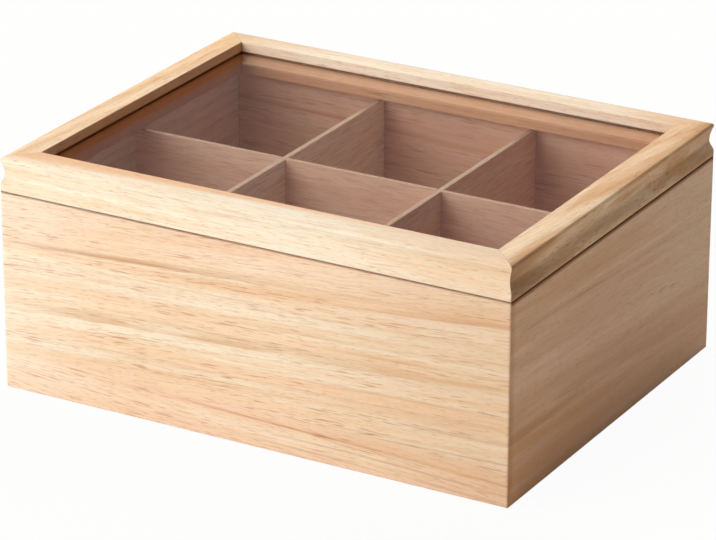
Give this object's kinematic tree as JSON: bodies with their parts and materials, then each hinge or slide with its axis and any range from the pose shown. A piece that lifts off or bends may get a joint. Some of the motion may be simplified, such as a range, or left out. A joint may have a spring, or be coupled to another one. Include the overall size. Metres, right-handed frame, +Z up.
{
  "type": "compartment box with hinged glazed lid",
  "caption": "Wooden storage box with open compartments under a hinged lid, a mitred moulded frame around a clear pane.",
  "frame": {"origin": "middle of the underside, where the box stands", "axes": "+Z up, -Y the front, opposite the hinges, +X to the right seen from the front"},
  "size_m": [0.29, 0.2287, 0.126],
  "materials": {
    "solid_wood": "satin",
    "thin_board": "matte",
    "pane": "polished",
    "hinge_metal": "polished"
  },
  "bodies": {
    "box": {"front_panel": "solid_wood", "back_panel": "solid_wood", "left_panel": "solid_wood", "right_panel": "solid_wood", "base_panel": "thin_board", "long_divider": "thin_board", "left_cross_divider": "thin_board", "right_cross_divider": "thin_board", "left_hinge_box_leaf": "hinge_metal", "right_hinge_box_leaf": "hinge_metal", "left_hinge_pin": "hinge_metal", "right_hinge_pin": "hinge_metal", "box_hinge_screws": "hinge_metal"},
    "lid": {"lid_front_rail": "solid_wood", "lid_back_rail": "solid_wood", "lid_left_rail": "solid_wood", "lid_right_rail": "solid_wood", "lid_pane": "pane", "left_hinge_lid_leaf": "hinge_metal", "right_hinge_lid_leaf": "hinge_metal", "lid_hinge_screws": "hinge_metal"}
  },
  "joints": [
    {"name": "lid_hinge", "type": "hinge", "parent": "box", "child": "lid", "pos_m": [0, 0.113, 0.107], "axis": [-1, 0, 0], "range_deg": [0, 100]}
  ]
}
